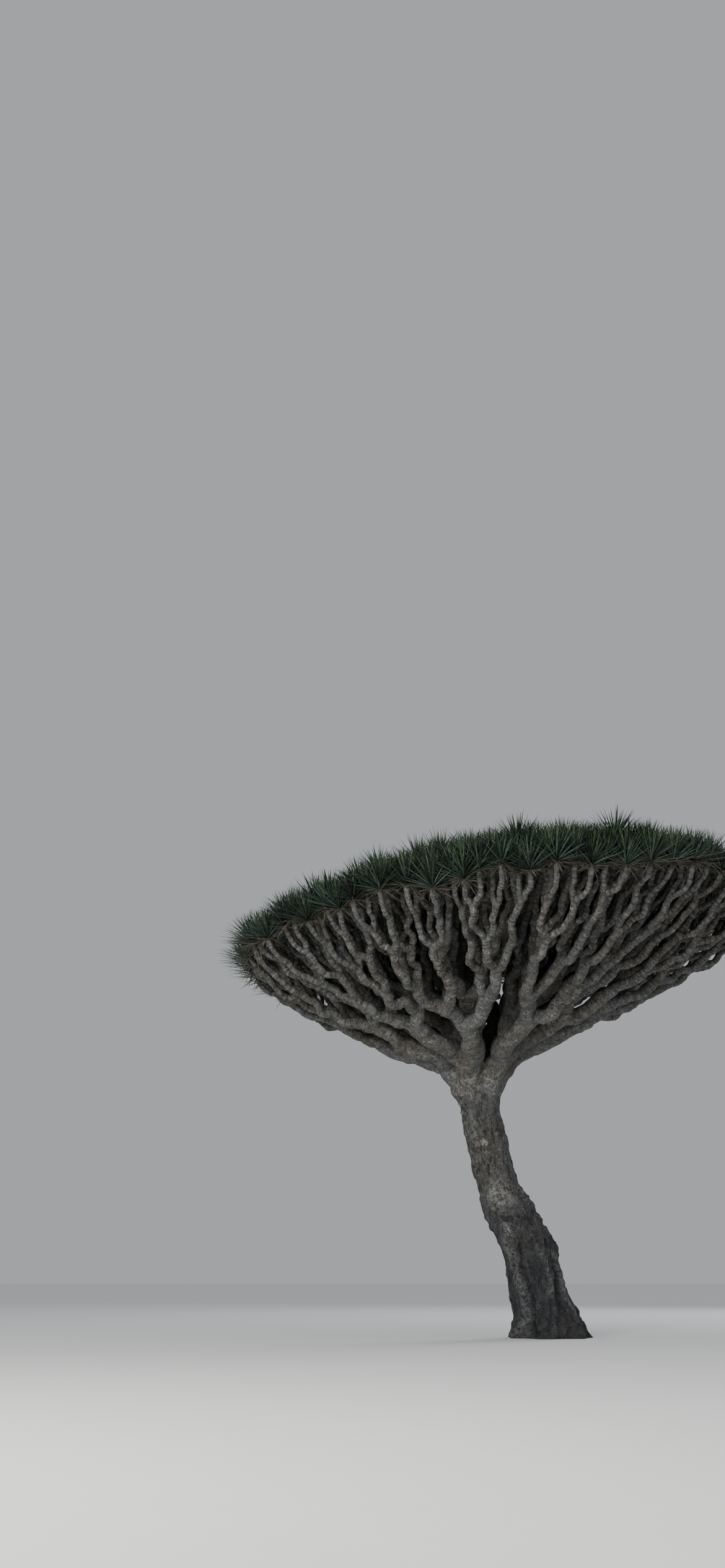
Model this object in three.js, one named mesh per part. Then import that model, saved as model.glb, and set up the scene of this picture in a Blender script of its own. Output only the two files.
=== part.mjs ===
// Dragon blood tree: a leaning trunk that forks into five boughs, which fork again and again
// into an umbrella crown, with a tuft of sword leaves on the end of every twig.
// Millimetres, +Z up. The origin is the centre of the flat cut under the trunk, at ground level.
import * as THREE from "three";

// Trunk: each station's height above the ground, its shift along X and Y, and its radius.
const TRUNK_STATIONS = [
  [0, 0, 0, 450],
  [100, -4, 0, 420],
  [220, -24, 2, 385],
  [420, -88, 6, 345],
  [640, -138, 12, 318],
  [850, -176, 20, 312],
  [1050, -238, 28, 322],
  [1260, -345, 36, 312],
  [1480, -436, 42, 290],
  [1700, -528, 46, 254],
  [1920, -594, 46, 250],
  [2140, -642, 42, 246],
  [2360, -684, 34, 242],
  [2580, -722, 24, 244],
  [2740, -736, 16, 272],
  [2870, -740, 10, 316],
];
const TRUNK_SIDES = 24;

// Root flare: how many toes, how far they stand out as a share of the radius, and where they fade out.
const TOES = 7;
const TOE_REACH = 0.13;
const TOE_UNEVEN = 0.8;
const TOE_HEIGHT = 520;
const TOE_FADE = 1.5;

// Swellings and old stubs on the trunk: height, bearing in degrees, how far each stands out, half size.
const KNOTS = [
  [1020, -20, 36, 190],
  [1430, 200, 40, 150],
  [1420, -10, 24, 210],
  [1900, 185, 26, 110],
  [2790, 180, 58, 90],
  [1600, 250, 30, 160],
  [900, 80, 40, 200],
  [2100, 70, 24, 150],
];

// Crown: its middle, how far the twigs reach from it, and how high their ends come at rim and top.
const CROWN_X = -400;
const CROWN_Y = 0;
const CROWN_RADIUS = 3350;
const RIM_HEIGHT = 4650;
const TOP_HEIGHT = 5510;
const DOME_POWER = 1.6;
const CROWN_TILT = 0.115; // how much higher the crown comes for each unit towards +X
const OUTLINE_POINTS = 40;
const OUTLINE_WAVES = [
  { count: 3, size: 0.022, phase: 0.6 },
  { count: 5, size: 0.016, phase: 2.1 },
];
const LEAF_OVERHANG = 280; // how far leaves may reach past the outline of the twigs

// Ways: the straight, fanned lines that the boughs follow from over the fork to every part of the crown.
const FAN_HEIGHT = 2920;
const FAN_TILT = 0.02; // how much higher the ways start for each unit towards +X
const FAN_SPREAD = 200;
const UPTURN = 0.18; // share of the rise that is kept for the last, upturned stretch
const UPTURN_POWER = 8;

// Boughs and twigs, by order: main boughs are of order 1, and twigs of the last order end in tufts.
const MAIN_BEARINGS = [-88, -18, 56, 134, 202]; // sides of the main boughs' sectors, in degrees
const MAIN_OFFSET = 0.48; // how far out a main bough stands on the trunk, as a share of its radius
const MAIN_RADIUS = 0.54; // a main bough's radius at its root, as a share of the trunk's
const MAIN_LEANS = [0.7, 0.7, 0.7, 1, 0.8]; // how far each sets out sideways for each unit up
const BOUGH_ORDERS = 3; // boughs up to this order are pieces of their own
const ALL_ORDERS = 6;
const FORK_SHARES = [0, 0.1, 0.21, 0.34, 0.54, 0.77, 1]; // how far along its way each order ends
const END_RADII = [0, 160, 132, 108, 86, 64, 46];
const ROOT_RADIUS = 0.94; // a branch's radius at its root, as a share of its parent's end
const WAIST = 0.09; // how much a branch narrows between its forks
const SPLAY_GAIN = 2;
const SPLAY_MOST = 0.55; // how sharply the two arms of a fork may part
const FOLLOW = 0.5; // how far a branch's end keeps the branch's own direction
const ARM = 0.34; // length of the curve's handles, as a share of the branch
const WANDER = 0.045; // how far those handles stray, as a share of the branch
const TIMING = 0.02; // most that a fork comes early or late, as a share of the whole way
const LAST_HEADING = 0.97; // share of the way at which a last twig's heading is taken

// Sharing out the crown: each space is cut across its length, once for every fork.
const CUT_TURN = 0.3; // most that a cut turns away from square, in radians
const CUT_SHIFT = 0.17; // most that it moves off the middle, as a share of the space's spread

// Facets: how many sides the pieces have, and where their rings stand.
const BOUGH_SIDES = [0, 10, 8, 8];
const BOUGH_RINGS = [0, 6, 5, 6];
const TWIG_STOPS = [[], [], [], [], [0.3, 0.65, 1], [0.5, 1], [0.5, 0.95]];
const STEM_SHARE = 0.8; // where a third bough ends and its foliage's stem takes over
const CROTCH_LIFT = 0.8; // height of a fork's saddle, as a share of the branch's radius

// Tufts: three rounds of leaves on a low crown of facets.
const LEAF_LENGTH = 460;
const LEAF_ANGLES = [0.3, 0.72, 1.22]; // rise of each round above the tuft's own level, in radians
const LEAF_TURN = 0.12; // most that a leaf turns aside or up, in radians
const LEAF_UNEVEN = 0.1;
const LEAF_LIFT = 0.5; // share of the length that finds no room and turns upwards instead
const LEAF_LEAST = 0.25; // a leaf with room for less than this share of its length is left out
const TUFT_HEIGHTS = [45, 120, 185]; // of the widest ring, the upper ring and the peak
const TUFT_RADII = [215, 112];
const TUFT_SHARES = [0.72, 0.5]; // how far those rings may reach into the room
const TUFT_LEAST = 75;
const TUFT_LEAN = 0.75; // how far a tuft leans with its twig
const TUFT_TRIES = 8; // turns tried, to find the one that gives the leaves most room
const ROOM_MARGIN = 7; // clear space inside the edge of each tuft's room

// Clear spaces between pieces, between the arms of a fork, and from a flat end to the next ring.
const GAP = 0.3;
const ARM_GAP = 4;
const RING_GAP = 14;

const SEED = 20417;

const TRUNK_BARK = { color: 0x6b6358, roughness: 0.95, metalness: 0 };
const BOUGH_BARK = { color: 0x777066, roughness: 0.93, metalness: 0 };
const LEAVES = { color: 0x2f4a2c, roughness: 0.7, metalness: 0, flatShading: true };

const UP = new THREE.Vector3(0, 0, 1);
const QUARTER = Math.PI / 2;

// A fixed number from 0 to 1 for each branch and each draw that it makes.
function chance(number, draw) {
  let h = (Math.imul(number, 374761393) + Math.imul(draw, 668265263) + SEED) | 0;
  h = Math.imul(h ^ (h >>> 13), 1274126177);
  h = Math.imul(h ^ (h >>> 15), 2246822519);
  h ^= h >>> 16;
  return (h >>> 0) / 2 ** 32;
}

// The same, from -most to most.
function stray(number, draw, most) {
  return (2 * chance(number, draw) - 1) * most;
}

// The crown's outline in plan, round its own middle, with extra added all round.
function crownOutline(extra) {
  return Array.from({ length: OUTLINE_POINTS }, (_, i) => {
    const bearing = (2 * Math.PI * i) / OUTLINE_POINTS;
    let share = 1;
    for (const { count, size, phase } of OUTLINE_WAVES) share += size * Math.sin(count * bearing + phase);
    const radius = CROWN_RADIUS * share + extra;
    return [radius * Math.cos(bearing), radius * Math.sin(bearing)];
  });
}

// The part of a convex outline on the side of a line that the line's normal points to.
function clip(outline, normal, offset) {
  const kept = [];
  outline.forEach((a, i) => {
    const b = outline[(i + 1) % outline.length];
    const da = a[0] * normal[0] + a[1] * normal[1] - offset;
    const db = b[0] * normal[0] + b[1] * normal[1] - offset;
    if (da >= 0) kept.push(a);
    if (da * db < 0) {
      const s = da / (da - db);
      kept.push([a[0] + (b[0] - a[0]) * s, a[1] + (b[1] - a[1]) * s]);
    }
  });
  return kept;
}

// The middle of an outline, the bearing of its longer axis, and its spread along that axis.
function measure(outline) {
  let area = 0;
  let [x, y, xx, yy, xy] = [0, 0, 0, 0, 0];
  outline.forEach((a, i) => {
    const b = outline[(i + 1) % outline.length];
    const cross = a[0] * b[1] - b[0] * a[1];
    area += cross / 2;
    x += ((a[0] + b[0]) * cross) / 6;
    y += ((a[1] + b[1]) * cross) / 6;
    xx += ((a[0] * a[0] + a[0] * b[0] + b[0] * b[0]) * cross) / 12;
    yy += ((a[1] * a[1] + a[1] * b[1] + b[1] * b[1]) * cross) / 12;
    xy += ((a[0] * b[1] + 2 * a[0] * a[1] + 2 * b[0] * b[1] + b[0] * a[1]) * cross) / 24;
  });
  const middle = [x / area, y / area];
  const varX = xx / area - middle[0] ** 2;
  const varY = yy / area - middle[1] ** 2;
  const both = xy / area - middle[0] * middle[1];
  const bearing = 0.5 * Math.atan2(2 * both, varX - varY);
  const spread = Math.sqrt((varX + varY) / 2 + Math.hypot((varX - varY) / 2, both));
  return { middle, bearing, spread };
}

// A point on the way to one spot of the crown, from over the fork at share 0 to a twig's end at 1.
function onTheWay(spot, share) {
  const [, neckX, neckY] = TRUNK_STATIONS.at(-1);
  const out = Math.hypot(...spot) / CROWN_RADIUS;
  const dome = 1 - out ** DOME_POWER;
  const end = new THREE.Vector3(
    CROWN_X + spot[0],
    CROWN_Y + spot[1],
    RIM_HEIGHT + (TOP_HEIGHT - RIM_HEIGHT) * dome + CROWN_TILT * spot[0],
  );
  const start = new THREE.Vector3(
    neckX + (FAN_SPREAD * spot[0]) / CROWN_RADIUS,
    neckY + (FAN_SPREAD * spot[1]) / CROWN_RADIUS,
    FAN_HEIGHT + FAN_TILT * spot[0],
  );
  const rise = share * (1 - UPTURN) + UPTURN * share ** UPTURN_POWER;
  const point = start.clone().lerp(end, share);
  point.z = start.z + (end.z - start.z) * rise;
  return point;
}

// The direction of that way at a share of it.
function headingAt(spot, share) {
  const step = 0.02;
  return onTheWay(spot, share + step).sub(onTheWay(spot, share - step)).normalize();
}

// How far along its way a branch ends.
function forkShare(number, order) {
  return order === ALL_ORDERS ? 1 : FORK_SHARES[order] + stray(number, 1, TIMING);
}

// What is left of a vector once its part along an axis is taken away, at length 1.
function square(vector, axis) {
  return vector.clone().addScaledVector(axis, -vector.dot(axis)).normalize();
}

// A branch's centreline: it leaves towards its end, wanders, and comes out along its way.
function centreline(number, root, end, parentHeading, wayHeading) {
  const reach = root.distanceTo(end);
  const straight = end.clone().sub(root).normalize();
  const sideways = square(straight, parentHeading);
  const splay = Math.min(SPLAY_MOST, SPLAY_GAIN * straight.dot(sideways));
  const leaving = parentHeading.clone().addScaledVector(sideways, splay).normalize();
  const arriving = wayHeading.clone().addScaledVector(straight, FOLLOW).normalize();
  const across = new THREE.Vector3().crossVectors(straight, UP).normalize();
  const upwards = new THREE.Vector3().crossVectors(across, straight);
  const handle = (from, heading, length, draw) =>
    from
      .clone()
      .addScaledVector(heading, length)
      .addScaledVector(across, stray(number, draw, WANDER) * reach)
      .addScaledVector(upwards, stray(number, draw + 1, WANDER) * reach);
  const first = handle(root, leaving, ARM * reach, 2);
  const second = handle(end, arriving, -ARM * reach, 4);
  return new THREE.CubicBezierCurve3(root, first, second, end);
}

// A branch and all that grows from it. Its twigs end inside cell, and their leaves stay inside room.
function grow({ number, order, cell, room, root, heading, rootRadius, walls }) {
  const { middle, bearing, spread } = measure(cell);
  const last = order === ALL_ORDERS;
  const share = forkShare(number, order);
  const end = onTheWay(middle, share);
  const curve = centreline(number, root, end, heading, headingAt(middle, last ? LAST_HEADING : share));
  const endHeading = curve.getTangent(1);
  const endRadius = END_RADII[order];
  const branch = { number, order, room, curve, end, endHeading, rootRadius, endRadius, walls, arms: [] };
  if (last) return branch;

  const turned = bearing + stray(number, 6, CUT_TURN);
  const normal = [Math.cos(turned), Math.sin(turned)];
  const offset = middle[0] * normal[0] + middle[1] * normal[1] + stray(number, 7, CUT_SHIFT) * spread;
  const halves = [1, -1].map((side, i) => {
    const n = [normal[0] * side, normal[1] * side];
    return {
      number: 2 * number + i,
      order: order + 1,
      cell: clip(cell, n, offset * side),
      room: clip(room, n, offset * side),
    };
  });
  // The two arms part along a plane through the fork, square to the line between their ends. At
  // the last fork, where the arms run on longest, it halves the angle between them instead.
  const ends = halves.map((half) => onTheWay(measure(half.cell).middle, forkShare(half.number, half.order)));
  const [one, other] = ends.map((point) => point.clone().sub(end).normalize());
  const lastFork = order === ALL_ORDERS - 1;
  branch.between = lastFork ? one.sub(other).normalize() : square(ends[0].clone().sub(ends[1]), endHeading);
  branch.arms = halves.map((half, i) => {
    const wall = { normal: branch.between.clone().multiplyScalar(i ? -1 : 1), point: end };
    const rootRadius = endRadius * ROOT_RADIUS;
    return grow({ ...half, root: end, heading: endHeading, rootRadius, walls: [wall] });
  });
  return branch;
}

// The main boughs, rooted side by side on top of the trunk, each with a sector of the crown.
function mainBoughs() {
  const [height, x, y, radius] = TRUNK_STATIONS.at(-1);
  const axis = new THREE.Vector3(x, y, height);
  return MAIN_BEARINGS.map((bearing, i) => {
    const low = THREE.MathUtils.degToRad(bearing);
    const high = THREE.MathUtils.degToRad(MAIN_BEARINGS[i + 1] ?? MAIN_BEARINGS[0] + 360);
    const sides = [
      [-Math.sin(low), Math.cos(low)],
      [Math.sin(high), -Math.cos(high)],
    ];
    const sector = (outline) => sides.reduce((left, side) => clip(left, side, 0), outline);
    const mid = (low + high) / 2;
    const outward = new THREE.Vector3(Math.cos(mid), Math.sin(mid), 0);
    return grow({
      number: 2 ** BOUGH_ORDERS + i,
      order: 1,
      cell: sector(crownOutline(0)),
      room: sector(crownOutline(LEAF_OVERHANG)),
      root: axis.clone().addScaledVector(outward, MAIN_OFFSET * radius),
      heading: UP.clone().addScaledVector(outward, MAIN_LEANS[i]).normalize(),
      rootRadius: MAIN_RADIUS * radius,
      walls: sides.map((side) => ({ normal: new THREE.Vector3(...side, 0), point: axis })),
    });
  });
}

// The radius along a branch: a taper, a little narrower between its forks.
function radiusOn(branch, s) {
  const taper = THREE.MathUtils.lerp(branch.rootRadius, branch.endRadius, s);
  return taper * (1 - WAIST * Math.sin(Math.PI * s) ** 2);
}

// A ring of points square to a heading. The first two stand either side of where guide points.
function ringAt(centre, heading, radius, sides, guide) {
  const u = square(guide, heading);
  const v = new THREE.Vector3().crossVectors(heading, u);
  return Array.from({ length: sides }, (_, j) => {
    const angle = (2 * Math.PI * (j + 0.5)) / sides;
    return centre
      .clone()
      .addScaledVector(u, radius * Math.cos(angle))
      .addScaledVector(v, radius * Math.sin(angle));
  });
}

// Four corners round a centreline: the second faces toward, and the fourth faces away from it.
function cornersAt(centre, heading, radius, toward) {
  const u = square(toward, heading);
  const v = new THREE.Vector3().crossVectors(heading, u);
  const corner = (direction, reach) => centre.clone().addScaledVector(direction, reach);
  return [corner(v, -radius), corner(u, radius), corner(v, radius), corner(u, -radius)];
}

// Moves a point back onto its own side of every wall. Where a heading is given, the point stays
// at its own level along that heading. Two walls at an angle take a few passes.
function keepWithin(point, walls, clear, heading) {
  for (let pass = 0; pass < 4; pass++) {
    for (const wall of walls) {
      const inside = wall.normal.dot(point.clone().sub(wall.point)) - clear;
      if (inside >= 0) continue;
      const way = heading ? square(wall.normal, heading) : wall.normal;
      point.addScaledVector(way, -inside / way.dot(wall.normal));
    }
  }
  return point;
}

// A closed surface, built from points and triangles that face out.
class Skin {
  points = [];
  triangles = [];

  add(point) {
    return this.points.push(point) - 1;
  }

  addAll(points) {
    return points.map((point) => this.add(point));
  }

  triangle(a, b, c) {
    this.triangles.push(a, b, c);
  }

  // Joins two rings with the same count of points.
  band(low, high) {
    low.forEach((a, j) => {
      const k = (j + 1) % low.length;
      this.triangle(a, low[k], high[k]);
      this.triangle(a, high[k], high[j]);
    });
  }

  // Closes a ring with a fan round its middle. A first ring is turned over, to face back.
  close(ring, first) {
    const middle = new THREE.Vector3();
    ring.forEach((i) => middle.add(this.points[i]));
    const centre = this.add(middle.divideScalar(ring.length));
    ring.forEach((a, j) => {
      const b = ring[(j + 1) % ring.length];
      if (first) this.triangle(centre, b, a);
      else this.triangle(centre, a, b);
    });
  }

  geometry() {
    const geometry = new THREE.BufferGeometry().setFromPoints(this.points);
    geometry.setIndex(this.triangles);
    geometry.computeVertexNormals();
    return geometry;
  }
}

// A stack of rings as one closed surface.
function stack(rings) {
  const skin = new Skin();
  const indexed = rings.map((ring) => skin.addAll(ring));
  for (let i = 1; i < indexed.length; i++) skin.band(indexed[i - 1], indexed[i]);
  skin.close(indexed[0], true);
  skin.close(indexed.at(-1), false);
  return skin.geometry();
}

// The trunk: rings that follow its lean, pushed out over the root toes and the knots.
function trunk() {
  const rings = TRUNK_STATIONS.map(([height, x, y, radius]) => {
    const fade = Math.max(0, 1 - height / TOE_HEIGHT) ** TOE_FADE;
    return Array.from({ length: TRUNK_SIDES }, (_, j) => {
      const bearing = (2 * Math.PI * j) / TRUNK_SIDES;
      const toe = Math.cos(TOES * bearing + TOE_UNEVEN * Math.sin(2 * bearing));
      let reach = radius * (1 + TOE_REACH * fade * toe);
      for (const [at, degrees, size, half] of KNOTS) {
        const apart = 2 * radius * Math.sin((bearing - THREE.MathUtils.degToRad(degrees)) / 2);
        reach += size * Math.exp(-(((height - at) / half) ** 2) - (apart / half) ** 2);
      }
      return new THREE.Vector3(x + reach * Math.cos(bearing), y + reach * Math.sin(bearing), height);
    });
  });
  return stack(rings);
}

// A bough's ring of points at s, kept on its own side of the fork.
function boughRing(branch, s) {
  const { curve, order, walls } = branch;
  const heading = curve.getTangent(s);
  const ring = ringAt(curve.getPoint(s), heading, radiusOn(branch, s), BOUGH_SIDES[order], walls[0].normal);
  return ring.map((point) => keepWithin(point, walls, GAP / 2, heading));
}

// A bough: a tapering limb that starts on its own share of its parent's flat end.
function bough(branch, parent) {
  const { curve, order, walls } = branch;
  const until = order === BOUGH_ORDERS ? STEM_SHARE : 1;
  const start = parent.end.clone().addScaledVector(parent.heading, GAP);
  const foot = ringAt(start, parent.heading, parent.radius, BOUGH_SIDES[order], walls[0].normal);
  const rings = [foot.map((point) => keepWithin(point, walls, GAP / 2, parent.heading))];
  // No ring between the two flat ends reaches past either of them.
  const floor = { normal: parent.heading, point: start };
  const ceiling = { normal: curve.getTangent(until).negate(), point: curve.getPoint(until) };
  const last = BOUGH_RINGS[order] - 1;
  for (let i = 1; i <= last; i++) {
    const ends = i < last ? [floor, ceiling] : [floor];
    const ring = boughRing(branch, (until * i) / last);
    rings.push(ring.map((point) => keepWithin(point, ends, RING_GAP)));
  }
  return stack(rings);
}

// How far a ray runs from a point inside a convex outline before it comes near the outline.
function roomAhead(outline, from, direction) {
  let nearest = Infinity;
  outline.forEach((a, i) => {
    const b = outline[(i + 1) % outline.length];
    const inward = [a[1] - b[1], b[0] - a[0]];
    const size = Math.hypot(...inward);
    const away = ((from[0] - a[0]) * inward[0] + (from[1] - a[1]) * inward[1]) / size - ROOM_MARGIN;
    const closing = -(direction[0] * inward[0] + direction[1] * inward[1]) / size;
    if (closing > 0) nearest = Math.min(nearest, away / closing);
  });
  return nearest;
}

// A tuft on a twig's end: a low crown of facets, each drawn out to the point of a leaf.
function addTuft(skin, twig, ring, toward) {
  const { end, number, room } = twig;
  const axis = twig.endHeading.clone().multiplyScalar(TUFT_LEAN).add(UP).normalize();
  const front = square(toward, axis);
  const side = new THREE.Vector3().crossVectors(axis, front);
  const facing = (turn) => front.clone().multiplyScalar(Math.cos(turn)).addScaledVector(side, Math.sin(turn));
  const from = [end.x - CROWN_X, end.y - CROWN_Y];
  const ahead = (direction) => roomAhead(room, from, [direction.x, direction.y]);

  // The tuft turns to where its eight outer leaves have the most room.
  const roominess = (turn) => {
    let sum = 0;
    for (let j = 0; j < 8; j++) sum += Math.min(LEAF_LENGTH, ahead(facing(turn + (j * QUARTER) / 2)));
    return sum;
  };
  const turns = Array.from({ length: TUFT_TRIES }, (_, i) => (i / TUFT_TRIES - 0.5) * QUARTER);
  const best = turns.reduce((most, turn) => (roominess(turn) > roominess(most) ? turn : most));

  const corner = (tier, turn) => {
    const direction = facing(turn);
    const reach = Math.min(TUFT_RADII[tier], TUFT_SHARES[tier] * ahead(direction));
    const level = end.clone().addScaledVector(axis, TUFT_HEIGHTS[tier]);
    return skin.add(level.addScaledVector(direction, Math.max(TUFT_LEAST, reach)));
  };
  const low = [-1, 0, 1, 2].map((j) => corner(0, best + j * QUARTER));
  const high = [-1, 0, 1, 2].map((j) => corner(1, best + (j + 0.5) * QUARTER));
  const peak = skin.add(end.clone().addScaledVector(axis, TUFT_HEIGHTS[2]));
  skin.band(ring, low);

  // A leaf that runs out of room ahead turns straight up with its tip, or is left out.
  const leaf = (a, b, c, turn, round, draw) => {
    const length = LEAF_LENGTH * (1 + stray(number, draw, LEAF_UNEVEN));
    const rise = LEAF_ANGLES[round] + stray(number, draw + 1, LEAF_TURN);
    const outward = facing(turn + stray(number, draw + 2, LEAF_TURN));
    const way = outward.multiplyScalar(Math.cos(rise)).addScaledVector(axis, Math.sin(rise));
    const reach = Math.min(length, ahead(way));
    if (reach < LEAF_LEAST * length) {
      skin.triangle(a, b, c);
      return;
    }
    const lift = (length - reach) * LEAF_LIFT;
    const tip = skin.add(end.clone().addScaledVector(way, reach).addScaledVector(UP, lift));
    skin.triangle(a, b, tip);
    skin.triangle(b, c, tip);
    skin.triangle(c, a, tip);
  };
  for (let j = 0; j < 4; j++) {
    const k = (j + 1) % 4;
    const turn = best + (j - 1) * QUARTER;
    leaf(low[j], low[k], high[j], turn + QUARTER / 2, 0, 10 + 4 * j);
    leaf(low[k], high[k], high[j], turn + QUARTER, 1, 30 + 4 * j);
    leaf(high[j], high[k], peak, turn + QUARTER, 2, 50 + 4 * j);
  }
}

// The two arms of a fork share the ring under it, from corner to corner, and a saddle between them.
function addFork(skin, branch, ring, first, floor) {
  const saddle = branch.end.clone().addScaledVector(branch.endHeading, CROTCH_LIFT * branch.endRadius);
  const crotch = skin.add(saddle);
  const corner = (step) => ring[(first + step) % 4];
  const { arms, between } = branch;
  addTwig(skin, arms[0], [corner(3), corner(0), corner(1), crotch], between, floor);
  addTwig(skin, arms[1], [corner(1), corner(2), corner(3), crotch], between.clone().negate(), floor);
}

// A twig with four corners, and what grows on its end. Its foot's second corner faces toward.
function addTwig(skin, twig, foot, toward, floor) {
  const { curve, endHeading, between, walls } = twig;
  const front = square(toward, endHeading);
  const side = new THREE.Vector3().crossVectors(endHeading, front);
  // Whole quarter turns from the front to where the next fork's first arm leaves.
  const turns = between ? Math.round(Math.atan2(between.dot(side), between.dot(front)) / QUARTER) : 0;
  const endToward = between ? between.clone().applyAxisAngle(endHeading, -turns * QUARTER) : front;
  let ring = foot;
  for (const s of TWIG_STOPS[twig.order]) {
    const facing = toward.clone().lerp(endToward, s);
    const heading = curve.getTangent(s);
    const corners = cornersAt(curve.getPoint(s), heading, radiusOn(twig, s), facing);
    for (const corner of corners) {
      keepWithin(corner, walls, ARM_GAP, heading);
      keepWithin(corner, floor, RING_GAP);
    }
    const next = skin.addAll(corners);
    skin.band(ring, next);
    ring = next;
  }
  if (between) addFork(skin, twig, ring, (turns + 5) % 4, floor);
  else addTuft(skin, twig, ring, endToward);
}

// A mass of foliage: a stem that goes on from its bough's flat end, its twigs, and their tufts.
function foliage(branch) {
  const skin = new Skin();
  const heading = branch.curve.getTangent(STEM_SHARE);
  const floor = [{ normal: heading, point: branch.curve.getPoint(STEM_SHARE).addScaledVector(heading, GAP) }];
  const foot = skin.addAll(boughRing(branch, STEM_SHARE).map((point) => point.addScaledVector(heading, GAP)));
  skin.close(foot, true);
  const corners = cornersAt(branch.end, branch.endHeading, branch.endRadius, branch.between);
  const top = skin.addAll(corners.map((corner) => keepWithin(corner, floor, RING_GAP)));

  // Each of the four corners takes the three points of the foot that face it.
  const sides = foot.length;
  const front = square(branch.walls[0].normal, heading);
  const side = new THREE.Vector3().crossVectors(heading, front);
  const firstCorner = Math.atan2(branch.between.dot(side), branch.between.dot(front)) - QUARTER;
  const home = Math.round((firstCorner * sides) / (2 * Math.PI) - 0.5) + sides;
  const point = (j) => foot[j % sides];
  top.forEach((t, j) => {
    const h = home + 2 * j;
    skin.triangle(point(h - 1), point(h), t);
    skin.triangle(point(h), point(h + 1), t);
    skin.triangle(point(h + 1), top[(j + 1) % 4], t);
  });
  addFork(skin, branch, top, 1, floor);
  return skin.geometry();
}

const tree = new THREE.Group();

function place(name, geometry, finish) {
  const mesh = new THREE.Mesh(geometry, new THREE.MeshStandardMaterial(finish));
  mesh.name = name;
  tree.add(mesh);
}

// What a bough's own arms start from.
function endOf(branch) {
  return { end: branch.end, heading: branch.endHeading, radius: branch.endRadius };
}

place("trunk", trunk(), TRUNK_BARK);

mainBoughs().forEach((main, i) => {
  const mainName = `bough_${i + 1}`;
  place(mainName, bough(main, { end: main.curve.v0, heading: UP, radius: main.rootRadius }), BOUGH_BARK);
  main.arms.forEach((second, j) => {
    const secondName = mainName + "ab"[j];
    place(secondName, bough(second, endOf(main)), BOUGH_BARK);
    second.arms.forEach((third, k) => {
      const thirdName = secondName + (k + 1);
      place(thirdName, bough(third, endOf(second)), BOUGH_BARK);
      place(thirdName.replace("bough", "foliage"), foliage(third), LEAVES);
    });
  });
});

export default tree;
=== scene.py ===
import itertools
import math

import bpy
import numpy as np
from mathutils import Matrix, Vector
from mathutils.kdtree import KDTree


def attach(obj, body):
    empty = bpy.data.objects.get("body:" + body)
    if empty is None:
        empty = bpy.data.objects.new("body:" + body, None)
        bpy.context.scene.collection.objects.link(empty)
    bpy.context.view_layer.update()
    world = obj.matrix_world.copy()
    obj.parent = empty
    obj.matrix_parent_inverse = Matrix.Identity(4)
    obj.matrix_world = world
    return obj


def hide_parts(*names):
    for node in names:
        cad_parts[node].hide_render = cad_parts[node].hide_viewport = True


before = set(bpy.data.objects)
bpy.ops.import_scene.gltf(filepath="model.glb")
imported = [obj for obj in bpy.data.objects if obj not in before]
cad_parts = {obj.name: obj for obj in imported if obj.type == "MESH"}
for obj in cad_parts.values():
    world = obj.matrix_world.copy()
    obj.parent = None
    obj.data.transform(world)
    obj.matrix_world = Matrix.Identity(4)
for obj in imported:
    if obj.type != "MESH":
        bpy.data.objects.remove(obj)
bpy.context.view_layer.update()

# Trunk and boughs.
# A leaning, fibrous stem that swells over its root toes, and five main boughs that part from its
# top and fork twice, like wishbones, into thirty-five tapering limbs. All of it is living wood
# under rough grey bark, grown in one, so one skin is drawn over it and parted at the neck.

# Height above the ground, shift along X and Y, and radius.
TRUNK_STATIONS = np.array([
    (0.00, 0.000, 0.000, 0.450),
    (0.10, -0.004, 0.000, 0.420),
    (0.22, -0.024, 0.002, 0.385),
    (0.42, -0.088, 0.006, 0.345),
    (0.64, -0.138, 0.012, 0.318),
    (0.85, -0.176, 0.020, 0.312),
    (1.05, -0.238, 0.028, 0.322),
    (1.26, -0.345, 0.036, 0.312),
    (1.48, -0.436, 0.042, 0.290),
    (1.70, -0.528, 0.046, 0.254),
    (1.92, -0.594, 0.046, 0.250),
    (2.14, -0.642, 0.042, 0.246),
    (2.36, -0.684, 0.034, 0.242),
    (2.58, -0.722, 0.024, 0.244),
    (2.74, -0.736, 0.016, 0.272),
    (2.87, -0.740, 0.010, 0.316),
])
NECK_HEIGHT, NECK_X, NECK_Y, NECK_RADIUS = TRUNK_STATIONS[-1]
TRUNK_ROWS = 240
TRUNK_SIDES = 180
TOES = 7
TOE_HEIGHT = 0.52
TOE_DEPTH = 0.13  # share of the radius by which the root toes stand out at the ground
NECK_DOME_HEIGHT = 0.24

# Burls and stubs: height, bearing in degrees, how far each stands out, half height, half width.
KNOTS = [
    (1.02, -20, 0.036, 0.19, 0.19),
    (1.43, 200, 0.040, 0.15, 0.15),
    (1.42, -10, 0.024, 0.21, 0.21),
    (1.90, 185, 0.026, 0.11, 0.11),
    (2.79, 180, 0.058, 0.09, 0.09),
    (1.60, 250, 0.030, 0.16, 0.16),
    (0.90, 80, 0.040, 0.20, 0.20),
    (2.10, 70, 0.024, 0.15, 0.15),
    (1.57, 254, 0.034, 0.12, 0.12),
    (1.17, 238, 0.036, 0.08, 0.07),
]

# The photo, in its own pixels: its middle, its focal length, the row level with the camera and the
# place of the trunk's foot. The foot lies this far in front of the camera. The tilt is in radians.
PHOTO_MIDDLE = (585, 1266)
PHOTO_FOCAL = 2250
LEVEL_ROW = 2070
FOOT_PLACE = (887, 2160)
CAMERA_DISTANCE = 17.3
CAMERA_TILT = math.atan((LEVEL_ROW - PHOTO_MIDDLE[1]) / PHOTO_FOCAL)

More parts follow.
